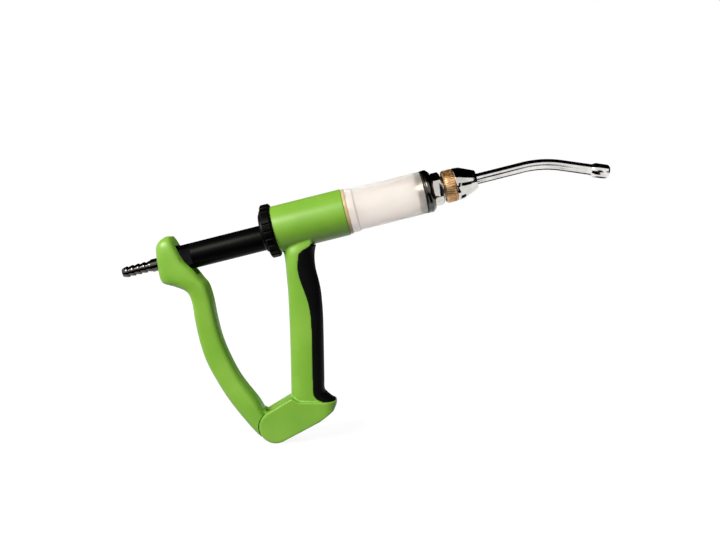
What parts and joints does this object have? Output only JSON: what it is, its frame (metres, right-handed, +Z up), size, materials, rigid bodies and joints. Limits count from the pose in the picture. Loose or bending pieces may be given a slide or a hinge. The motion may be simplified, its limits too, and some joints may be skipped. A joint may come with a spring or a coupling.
{
  "type": "livestock drencher",
  "caption": "Hand-held livestock drencher: squeeze lever drives a hose-fed plunger in a clear tilted barrel that doses liquid through a bent metal nozzle.",
  "frame": {"origin": "middle of the hand grip, at the centre of the handle's section", "axes": "+X forward towards the nozzle, +Z up along the handle, +Y to the left of the person holding it"},
  "size_m": [0.3606, 0.04, 0.2113],
  "materials": {
    "green_nylon": "moulded, satin gloss",
    "grip_rubber": "soft moulded rubber",
    "black_nylon": "moulded, satin",
    "milky_barrel": "milky clear moulding",
    "amber_gasket": "translucent amber rubber",
    "chrome": "bright plating",
    "polished_steel": "polished stainless",
    "steel": "machined",
    "dark_nickel": "dark bright plating",
    "black_steel": "black oxide",
    "brass": "turned brass",
    "acetal": "moulded",
    "seal_rubber": "moulded rubber"
  },
  "bodies": {
    "body": {"body_frame": "green_nylon", "grip_pad": "grip_rubber", "pivot_pin": "steel", "return_spring": "steel", "guide_bush": "black_nylon", "dose_ring_clip": "black_steel", "barrel": "milky_barrel", "barrel_gasket": "amber_gasket", "front_cap": "dark_nickel", "front_cap_seal": "seal_rubber", "valve_body": "chrome", "delivery_seat": "seal_rubber", "delivery_spring": "steel", "lock_ring": "brass", "nozzle_nut": "chrome", "nozzle_seal": "seal_rubber"},
    "lever": {"rear_lever": "green_nylon", "lever_bushes": "brass"},
    "plunger": {"plunger_tube": "black_nylon", "piston": "acetal", "piston_seal": "seal_rubber", "inlet_retainer": "acetal", "inlet_spring": "steel", "rear_coupling": "black_steel", "trunnion_pins": "steel", "hose_tail": "dark_nickel", "hose_tail_washer": "seal_rubber"},
    "inlet_valve": {"inlet_valve": "seal_rubber"},
    "delivery_valve": {"delivery_valve": "acetal"},
    "dose_ring": {"dose_ring": "black_nylon"},
    "nozzle": {"nozzle_tube": "polished_steel", "nozzle_tip": "polished_steel"}
  },
  "joints": [
    {"name": "lever_squeeze", "type": "hinge", "parent": "body", "child": "lever", "pos_m": [-0.0235, 0, -0.076], "axis": [0, 1, 0], "range_deg": [0, 20.97], "stiffness_Nm_per_rad": 2, "springref_deg": -22.92, "deforming": ["return_spring"]},
    {"name": "plunger_slide", "type": "slide", "parent": "body", "child": "plunger", "axis": [0.9703, 0, 0.2419], "range_m": [0, 0.052]},
    {"name": "inlet_valve_lift", "type": "slide", "parent": "plunger", "child": "inlet_valve", "axis": [0.9703, 0, 0.2419], "range_m": [0, 0.0015], "stiffness_N_per_m": 100, "springref_m": -0.002, "deforming": ["inlet_spring"]},
    {"name": "delivery_valve_lift", "type": "slide", "parent": "body", "child": "delivery_valve", "axis": [0.9703, 0, 0.2419], "range_m": [0, 0.0015], "stiffness_N_per_m": 100, "springref_m": -0.003, "deforming": ["delivery_spring"]},
    {"name": "dose_ring_turn", "type": "hinge", "parent": "body", "child": "dose_ring", "pos_m": [0, 0, 0.077], "axis": [0.9703, 0, 0.2419], "range_deg": [0, 330]},
    {"name": "nozzle_swivel", "type": "hinge", "parent": "body", "child": "nozzle", "pos_m": [0, 0, 0.077], "axis": [0.9703, 0, 0.2419], "continuous": true}
  ],
  "couplings": [
    {"joint": "plunger_slide", "follows": "lever_squeeze", "m_per_rad": 0.14206}
  ]
}
